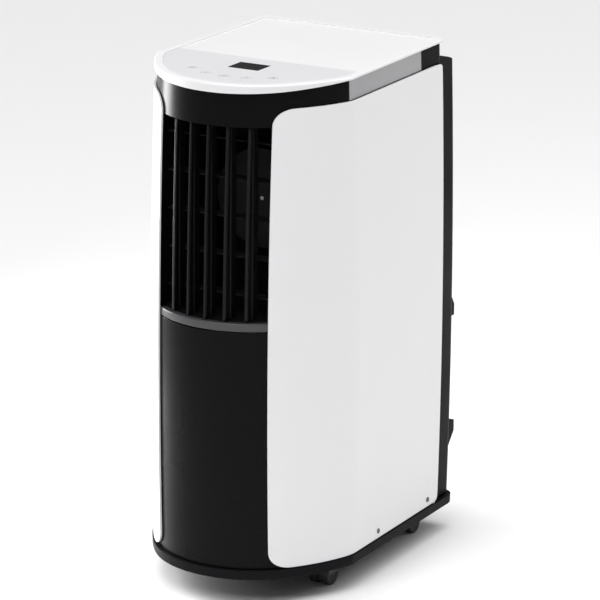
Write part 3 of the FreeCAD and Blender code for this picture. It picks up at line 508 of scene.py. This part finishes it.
FINISHES: dict[str, Finish] = {
    "white_shell": Finish("white_shell", (0.82, 0.82, 0.83), 0.36, 0.04, 1400, 0.05, coat=0.1, tint=0.015),
    "overlay": Finish("overlay", (0.73, 0.73, 0.745), 0.30, 0.04, 1400, 0.04, coat=0.1, tint=0.02),
    "key_caps": Finish("key_caps", (0.64, 0.64, 0.655), 0.32, 0.04, 1400, 0.04, tint=0.02),
    "mark": Finish("mark", (0.16, 0.16, 0.17), 0.4, 0.04, 1400, 0.03),
    "display": Finish("display", (0.006, 0.006, 0.007), 0.20, 0.02, 1400, 0.01, shine=0.04),
    "black_gloss": Finish("black_gloss", (0.004, 0.004, 0.0045), 0.27, 0.03, 1600, 0.02, shine=0.07),
    # Painted reflection: the side run of the glossy black band under the lid gets this light silver-grey
    # metallic colour, which paints in the bright light that the black band reflects there.
    "silver_trim": Finish("silver_trim", (0.44, 0.44, 0.45), 0.36, 0.05, 1600, 0.04, metallic=0.75,
                          stretch=Stretch.BRUSHED_X),
    "sill_grey": Finish("sill_grey", (0.05, 0.05, 0.053), 0.32, 0.05, 1400, 0.04),
    "black_matte": Finish("black_matte", (0.008, 0.008, 0.009), 0.46, 0.07, 1100, 0.22, shine=0.05),
    "vane_grey": Finish("vane_grey", (0.010, 0.010, 0.011), 0.38, 0.06, 1200, 0.10, shine=0.12),
    "link_white": Finish("link_white", (0.62, 0.62, 0.62), 0.40, 0.06, 1200, 0.10),
    "filter_mesh": Mesh("filter_mesh", (0.13, 0.14, 0.15), 0.8, 0.1, 900, 0.3),
    "plug_rubber": Finish("plug_rubber", (0.02, 0.02, 0.02), 0.7, 0.1, 1000, 0.3),
    "screw_steel": Finish("screw_steel", (0.10, 0.10, 0.10), 0.35, 0.08, 2000, 0.1, metallic=0.9),
    "caster_black": Finish("caster_black", (0.013, 0.013, 0.014), 0.42, 0.07, 1100, 0.2),
    "wheel_black": Finish("wheel_black", (0.018, 0.018, 0.019), 0.6, 0.1, 1000, 0.3),
    "board_green": Board("board_green", (0.02, 0.13, 0.05), 0.4, 0.05, 1200, 0.1),
    "inner_foam": Finish("inner_foam", (0.006, 0.006, 0.006), 0.85, 0.08, 600, 0.5, shine=0.1),
    "fan_plastic": Finish("fan_plastic", (0.012, 0.012, 0.013), 0.55, 0.07, 1100, 0.15, shine=0.2),
    "motor_steel": Finish("motor_steel", (0.42, 0.42, 0.43), 0.35, 0.08, 1800, 0.12, metallic=1.0),
    "coil_aluminium": Finish("coil_aluminium", (0.62, 0.63, 0.64), 0.38, 0.08, 1800, 0.15, metallic=1.0,
                             stretch=Stretch.BRUSHED_Z),
    "compressor_paint": Finish("compressor_paint", (0.02, 0.02, 0.02), 0.4, 0.08, 900, 0.2),
    "box_steel": Finish("box_steel", (0.5, 0.5, 0.5), 0.4, 0.08, 1800, 0.12, metallic=1.0),
    "pipe_copper": Finish("pipe_copper", (0.72, 0.36, 0.22), 0.3, 0.08, 1600, 0.1, metallic=1.0),
    "floor": Finish("floor", (0.92, 0.92, 0.92), 0.6, 0.03, 200, 0.01, tint=0.01),
}


def dress(obj: bpy.types.Object, finish: str) -> None:
    """Gives an object one finish."""
    obj.data.materials.clear()
    obj.data.materials.append(FINISHES[finish].build())


class SubAssembly:
    """A group of pieces that are built, dressed and tied to the frame together."""

    def place(
        self, obj: bpy.types.Object, body: str, slot: str, finish: str, *nodes: str
    ) -> bpy.types.Object:
        """Ties a piece to a CAD body and dresses it.

        Args:
            obj: The piece.
            body: CAD body that it moves with.
            slot: The record's material slot; not used.
            finish: Its finish.
            nodes: CAD nodes that it stands for.

        Returns:
            The same piece.
        """
        dress(obj, finish)
        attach(obj, body)
        if nodes:
            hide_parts(*nodes)
        log.info("piece %s: %d points, rides on %s", obj.name, len(obj.data.vertices), body)
        return obj


# ---- The body's skin --------------------------------------------------------------------------
@dataclass
class SidePanels(SubAssembly):
    """The two white panels that wrap the creases."""

    front_half: float = 91.0
    low: float = 56.0
    high: float = 735.0
    corner: float = 24.0
    back_corner: float = 20.0
    end: float = 292.0
    wall: float = 2.9
    edge: float = 0.9

    def build(self) -> None:
        """Builds both panels, the left as the right one's mirror image."""
        for name, mirror in (("side_panel_right", 1), ("side_panel_left", -1)):
            points = self.surface() * np.array([mirror, 1, 1])
            faces = grid_faces(points.shape[0], points.shape[1])
            sheet = mesh_object(name + "_skin", points, faces if mirror > 0 else faces[:, ::-1])
            thicken(sheet, self.wall, self.edge)
            self.place(sheet, "housing", "white_shell", "white_shell", name)

    def rounding(self, z: Grid, radius: float) -> Grid:
        """What a round corner takes from a row's end: the radius less the height of its circle.

        Args:
            z: Heights in millimetres.
            radius: The corner's radius.

        Returns:
            The length taken away at each height.
        """
        reach = np.minimum(z - self.low, self.high - z)
        return radius - np.sqrt(np.maximum(radius**2 - np.maximum(radius - reach, 0) ** 2, 0))

    def surface(self) -> Grid:
        """The panel's outer face as a grid.

        Each row runs from the front edge round the crease to the back edge. Near its top and
        bottom a row starts later and ends sooner by what a round corner takes away. Past the
        start of the back corner it goes on along a parabola with the corner's radius.

        Returns:
            Points in metres, a row for each height.
        """
        z = spaced(self.low, self.high, 70, self.corner)
        start_x = self.front_half + self.rounding(z, self.corner)
        start = np.arcsin(start_x / FORM.sizes.nose_r) / FORM.sizes.nose_angle
        stop_y = self.end - self.rounding(z, self.back_corner)
        one = np.ones_like(z)
        y2, y3 = FORM.outline(2 * one, z, 0.0)[1], FORM.outline(3 * one, z, 0.0)[1]
        stop = 2 + (stop_y - y2) / (y3 - y2)
        before, after = FORM.crease_span()
        knots = [start[:, None] + (2 - before - start[:, None]) * np.linspace(0, 1, 40)[None, :-1],
                 np.broadcast_to(np.linspace(2 - before, 2 + after, 17), (len(z), 17))[:, :-1],
                 (2 + after) + (np.minimum(stop, 3.0)[:, None] - 2 - after) * np.linspace(0, 1, 30)[None, :]]
        u = np.concatenate(knots, axis=1)
        zz = np.broadcast_to(z[:, None], u.shape)
        points = FORM.skin(u, zz, 0.0)
        over = np.maximum(stop_y[:, None] - y3[:, None], 0) * np.linspace(0, 1, 6)[None, 1:]
        inward = -over**2 / (2 * FORM.sizes.corner_r)
        tail = points[:, -1:, :] + np.stack([inward, over, 0 * over], axis=-1) * MM
        return np.concatenate([points, tail], axis=1)


@dataclass
class FrontSkin(SubAssembly):
    """The black lower front and the grey sill above it."""

    half: float = 117.5
    low: float = 55.0
    top: float = 412.0
    recess: float = 4.0
    wall: float = 2.9
    edge: float = 0.8
    sill_half: float = 90.0
    sill_low: float = 413.0
    sill_high: float = 425.0
    sill_wall: float = 10.8
    sill_edge: float = 1.6

    def patch(self, name: str, half: float, low: float, high: float, rows: int) -> bpy.types.Object:
        """A sheet on the nose between two heights, symmetric about the middle.

        Args:
            name: The object's name.
            half: Half its width in millimetres.
            low: Height of its lower edge.
            high: Height of its upper edge.
            rows: Rows of points between them.

        Returns:
            The sheet.
        """
        inset = self.recess
        edge = FORM.nose_place(half, inset)
        u = np.linspace(-edge, edge, 97)
        t = np.linspace(0, 1, rows)[:, None]
        z = low + (high - low) * t + 0 * u[None, :]
        uu = np.broadcast_to(u, z.shape)
        mirror = np.stack([np.sign(uu), 1 + 0 * uu, 1 + 0 * uu], axis=-1)
        return mesh_object(name, FORM.skin(np.abs(uu), z, inset) * mirror, grid_faces(*z.shape))

    def build(self) -> None:
        """Builds the lower panel and the sill."""
        panel = self.patch("front_panel_skin", self.half, self.low, self.top, 60)
        thicken(panel, self.wall, self.edge)
        self.place(panel, "housing", "black_gloss", "black_gloss", "front_panel")
        sill = self.patch("outlet_sill_skin", self.sill_half, self.sill_low, self.sill_high, 6)
        thicken(sill, self.sill_wall, self.sill_edge, 4)
        self.place(sill, "housing", "sill_grey", "sill_grey", "outlet_sill")


# ---- Outlet -----------------------------------------------------------------------------------
@dataclass
class Vanes(SubAssembly):
    """The rounded front beads of the upright vanes, which follow the swell of the body."""

    count: int = 5
    pitch: float = 30.0
    low: float = 427.2
    high: float = 707.8
    front: float = 8.0
    bead: float = 2.3
    lead: float = 0.6
    half_wall: float = 1.85
    length: float = 9.0
    point: float = 9.4

    def build(self) -> None:
        """Builds each vane's bead and dresses the CAD's vane to match."""
        for i in range(self.count):
            x = (i - (self.count - 1) / 2) * self.pitch
            self.place(self.vane(i + 1, x), "vane_%d" % (i + 1), "vane_grey", "vane_grey")
            dress(frame["nodes"]["vane_%d" % (i + 1)], "vane_grey")

    def vane(self, number: int, x: float) -> bpy.types.Object:
        """One vane's bead: a closed section swept up its height.

        The section is a half circle at the front and runs back to a low point inside the blade.

        Args:
            number: The vane's number.
            x: Its place across the outlet in millimetres.

        Returns:
            The bead.
        """
        z = np.linspace(self.low, self.high, 60)
        place = np.full_like(z, FORM.nose_place(abs(x), 0.0))
        face = FORM.outline(place, z, 0.0)[1] + self.front
        a = np.linspace(-math.pi / 2, math.pi / 2, 13)
        nose = np.stack([self.bead * np.sin(a), self.bead * (1 - np.cos(a)) + self.lead], axis=-1)
        tail = np.array([[self.half_wall, self.length], [0.0, self.point], [-self.half_wall, self.length]])
        section = np.concatenate([nose, tail], axis=0)
        points = np.empty((len(z), len(section), 3))
        points[..., 0] = x + section[None, :, 0]
        points[..., 1] = face[:, None] + section[None, :, 1] + FORM.sizes.shift_y
        points[..., 2] = z[:, None]
        flat = (points * MM).reshape(-1, 3)
        m, k = len(z), len(section)
        faces = grid_faces(m, k, closed=True).tolist()
        faces += [list(range(k))[::-1], list(range((m - 1) * k, m * k))]
        return mesh_object("vane_bead_%d" % number, flat, faces)


# ---- Casters ----------------------------------------------------------------------------------
@dataclass
class Casters(SubAssembly):
    """Twin wheels with rounded treads and a dished face."""

    wheel_r: float = 17.0
    width: float = 13.0
    trail: float = 10.0
    gap: float = 3.4
    shoulder: float = 2.4
    dish: float = 1.2
    tread: float = 5.0
    hub_r: float = 5.5
    bore_r: float = 2.7
    front: tuple[float, float] = (113.0, 4.0)
    back: tuple[float, float] = (112.0, 265.0)

    def build(self) -> None:
        """Builds each caster's two wheels as turned rings."""
        places = [(side * x, y) for x, y in (self.front, self.back) for side in (-1, 1)]
        for i, (x, y) in enumerate(places):
            name = "caster_wheels_%d" % (i + 1)
            for side, label in ((-1, "left"), (1, "right")):
                across = x + side * (self.gap + self.width / 2)
                centre = np.array([across, y + self.trail + FORM.sizes.shift_y, self.wheel_r])
                ring = lathe("%s_%s" % (name, label), self.profile(side), centre, "x")
                self.place(ring, name, "wheel_black", "wheel_black", name)

    def profile(self, side: int) -> Grid:
        """A wheel's half section: round shoulders and a shallow dish on the outer face.

        Args:
            side: -1 for the left wheel, 1 for the right one.

        Returns:
            Points of (distance along the axle, radius) in millimetres.
        """
        h, r, s = self.width / 2, self.wheel_r, self.shoulder
        a = np.linspace(0, math.pi / 2, 8)
        right = np.stack([h - s + s * np.sin(a), r - s + s * np.cos(a)], axis=-1)
        left = right[::-1] * np.array([-1, 1])
        floor = h - self.dish
        outer = np.array([[h, r - self.tread], [floor, r - self.tread - 1], [floor, self.hub_r + 1],
                          [h, self.hub_r], [h, self.bore_r]])
        inner = np.array([[-h, self.bore_r]])
        ring = np.concatenate([left, right, outer, inner], axis=0)
        return ring * np.array([side, 1]) if side > 0 else (ring * np.array([-1, 1]))[::-1]


# ---- Controls ---------------------------------------------------------------------------------
@dataclass
class KeyMarks(SubAssembly):
    """Raised generic marks on the keys: a ring and bar, two arrows, a broken ring, a fan's circles."""

    step: float = 33.0
    arc_r: float = 106.0
    arc_y: float = -85.0
    top: float = 769.75
    wire: float = 0.32
    lift: float = 0.12
    sides: int = 10

    def centre(self, i: int) -> tuple[float, float]:
        """A key's middle, in the CAD's own place."""
        x = (i - 2) * self.step
        return x, self.arc_y + self.arc_r - math.sqrt(self.arc_r**2 - x * x)

    def tube(self, name: str, path: Grid, closed: bool) -> bpy.types.Object:
        """A flat-lying rounded wire along a path of points in the plane.

        The section is a flattened circle carried along the path; an open wire's ends shrink.

        Args:
            name: The object's name.
            path: X and Y of the path's points in millimetres.
            closed: Whether the path joins its own start.

        Returns:
            The wire.
        """
        ahead = np.roll(path, -1, axis=0) - np.roll(path, 1, axis=0)
        if not closed:
            ahead[0], ahead[-1] = path[1] - path[0], path[-1] - path[-2]
        ahead /= np.linalg.norm(ahead, axis=1, keepdims=True)
        normal = np.stack([-ahead[:, 1], ahead[:, 0]], axis=-1)
        a = np.linspace(0, 2 * math.pi, self.sides, endpoint=False)
        size = np.full(len(path), self.wire)
        if not closed:
            size[0] = size[-1] = self.wire * 0.2
        off = size[:, None] * np.cos(a)[None, :]
        height = self.top + self.lift + 0.5 * size[:, None] * np.sin(a)[None, :]
        points = np.stack([path[:, None, 0] + normal[:, None, 0] * off,
                           path[:, None, 1] + normal[:, None, 1] * off, height], axis=-1)
        points[..., 1] += FORM.sizes.shift_y
        rows, k = len(path), self.sides
        if closed:
            faces = (grid_faces(rows + 1, k, closed=True) % (rows * k)).tolist()
        else:
            faces = grid_faces(rows, k, closed=True).tolist()
            faces += [list(range(k))[::-1], list(range((rows - 1) * k, rows * k))]
        return mesh_object(name, points * MM, faces)

    def circle(self, x: float, y: float, r: float, start: float = 0.0, stop: float = 2 * math.pi) -> Grid:
        """Points of an arc.

        Args:
            x: The centre's X.
            y: The centre's Y.
            r: The radius.
            start: Angle of the first point.
            stop: Angle of the last point; a whole turn leaves the last point out.

        Returns:
            The points in order.
        """
        whole = abs(stop - start - 2 * math.pi) < 1e-6
        a = np.linspace(start, stop, 49)[: 48 if whole else 49]
        return np.stack([x + r * np.cos(a), y + r * np.sin(a)], axis=-1)

    def line(self, *points: tuple[float, float]) -> Grid:
        """A broken line, with points between its corners."""
        p = np.array(points)
        t = np.linspace(0, len(p) - 1, 12 * (len(p) - 1) + 1)
        return np.stack([np.interp(t, range(len(p)), p[:, k]) for k in (0, 1)], axis=-1)

    def build(self) -> None:
        """Builds the marks of the five keys."""
        marks: dict[str, list[tuple[Grid, bool]]] = {}
        x, y = self.centre(0)
        marks["mode"] = [(self.circle(x, y, 3.4), True), (self.line((x - 1.8, y), (x + 1.8, y)), False)]
        x, y = self.centre(1)
        marks["down"] = [(self.line((x - 3, y + 1.6), (x, y - 1.8), (x + 3, y + 1.6)), False)]
        x, y = self.centre(2)
        marks["power"] = [(self.circle(x, y, 3.6, math.radians(125), math.radians(415)), False),
                          (self.line((x, y + 1.0), (x, y + 4.2)), False)]
        x, y = self.centre(3)
        marks["up"] = [(self.line((x - 3, y - 1.6), (x, y + 1.8), (x + 3, y - 1.6)), False)]
        x, y = self.centre(4)
        marks["fan"] = [(self.circle(x + 2.0 * math.cos(a), y + 2.0 * math.sin(a), 1.7), True)
                        for a in (math.pi / 2, math.pi * 7 / 6, math.pi * 11 / 6)]
        for key, paths in marks.items():
            for i, (path, closed) in enumerate(paths):
                wire = self.tube("mark_%s_%d" % (key, i + 1), path, closed)
                self.place(wire, "key_" + key, "key_caps", "mark")


# ---- CAD pieces -------------------------------------------------------------------------------
class CadPieces(SubAssembly):
    """The CAD's own pieces, dressed by the record's material slots."""

    def build(self) -> None:
        """Dresses every CAD node with the finish of its slot."""
        for part in frame["record"]["subparts"]:
            node = frame["nodes"][part["node"]]
            dress(node, part["material_slot"])
            log.info("CAD piece %s: %s", part["node"], part["material_slot"])


# ---- Studio -----------------------------------------------------------------------------------
@dataclass(frozen=True)
class Lamp:
    """A large soft lamp that faces the object."""

    name: str
    azimuth: float
    elevation: float
    distance: float
    size: tuple[float, float]
    power: float

    def build(self) -> None:
        """Puts the lamp on its sphere round the object."""
        data = bpy.data.lights.new(self.name, "AREA")
        data.shape, data.size, data.size_y, data.energy = "RECTANGLE", self.size[0], self.size[1], self.power
        lamp = bpy.data.objects.new(self.name, data)
        a, e = math.radians(self.azimuth), math.radians(self.elevation)
        back = Vector((math.sin(a) * math.cos(e), -math.cos(a) * math.cos(e), math.sin(e)))
        lamp.location = Vector((0, 0, 0.4)) + back * self.distance
        lamp.rotation_mode = "QUATERNION"
        lamp.rotation_quaternion = (-back).to_track_quat("-Z", "Y")
        bpy.context.scene.collection.objects.link(lamp)


LAMPS = (
    Lamp("lamp_front", -5, 44, 3.0, (1.6, 1.6), 30),
    Lamp("lamp_back_right", 118, 40, 3.0, (1.8, 1.8), 27),
    Lamp("lamp_left_strip", -88, 8, 1.15, (0.4, 0.7), 18),
)


@dataclass(frozen=True)
class Studio:
    """The pale floor, the soft lamps and the camera."""

    azimuth: float = 29.31
    elevation: float = 16.29
    roll: float = 0.38
    distance: float = 5.793
    lens: float = 235.4
    shift: tuple[float, float] = (0.0190, 0.0090)
    aim: tuple[float, float, float] = (0.0, -0.0045, 0.385)
    floor_half: float = 6.0
    surround: float = 0.22
    sky: float = 2.2
    sky_angle: float = 60.0

    def build(self) -> None:
        """Builds the studio."""
        self.floor()
        self.world()
        for lamp in LAMPS:
            lamp.build()
        self.sky_lamp()
        self.camera()
        bpy.context.scene.view_settings.view_transform = "Standard"

    def floor(self) -> None:
        """A wide pale floor."""
        span = np.linspace(-self.floor_half, self.floor_half, 13)
        x, y = np.meshgrid(span, span)
        ground = mesh_object("floor", np.stack([x, y, 0 * x], axis=-1), grid_faces(13, 13))
        dress(ground, "floor")

    def world(self) -> None:
        """An even white surround."""
        world = bpy.data.worlds.new("surround")
        world.use_nodes = True
        back = world.node_tree.nodes["Background"]
        back.inputs["Color"].default_value = (1.0, 1.0, 1.0, 1.0)
        back.inputs["Strength"].default_value = self.surround
        bpy.context.scene.world = world

    def sky_lamp(self) -> None:
        """A wide soft light from straight above, which lights the floor evenly."""
        data = bpy.data.lights.new("lamp_sky", "SUN")
        data.energy, data.angle = self.sky, math.radians(self.sky_angle)
        bpy.context.scene.collection.objects.link(bpy.data.objects.new("lamp_sky", data))

    def camera(self) -> None:
        """A long lens from the front right, slightly above."""
        a, e, r = (math.radians(v) for v in (self.azimuth, self.elevation, self.roll))
        back = Vector((math.sin(a) * math.cos(e), -math.cos(a) * math.cos(e), math.sin(e)))
        right = (-back).cross(Vector((0, 0, 1))).normalized()
        up = right.cross(-back)
        across, above = right * math.cos(r) + up * math.sin(r), up * math.cos(r) - right * math.sin(r)
        data = bpy.data.cameras.new("camera")
        data.lens, data.sensor_width = self.lens, 36.0
        data.shift_x, data.shift_y = self.shift
        data.clip_start, data.clip_end = 0.1, 50.0
        camera = bpy.data.objects.new("camera", data)
        spot = Vector(self.aim) + back * self.distance
        rows = [(across[i], above[i], back[i], spot[i]) for i in range(3)] + [(0, 0, 0, 1)]
        camera.matrix_world = Matrix(rows)
        bpy.context.scene.collection.objects.link(camera)
        bpy.context.scene.camera = camera


def plain(box: tuple[Vector, Vector]) -> list[list[float]]:
    """A box's two corners as lists."""
    return [list(corner) for corner in box]


def main() -> None:
    """Builds everything in order."""
    logging.basicConfig(level=logging.INFO, format="%(name)s: %(message)s")
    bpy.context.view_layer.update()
    CadPieces().build()
    parts: list[SubAssembly] = [SidePanels(), FrontSkin(), Vanes(), Casters(), KeyMarks()]
    for part in parts:
        log.info("building %s", type(part).__name__)
        part.build()
    Studio().build()


if __name__ == "__main__":
    main()
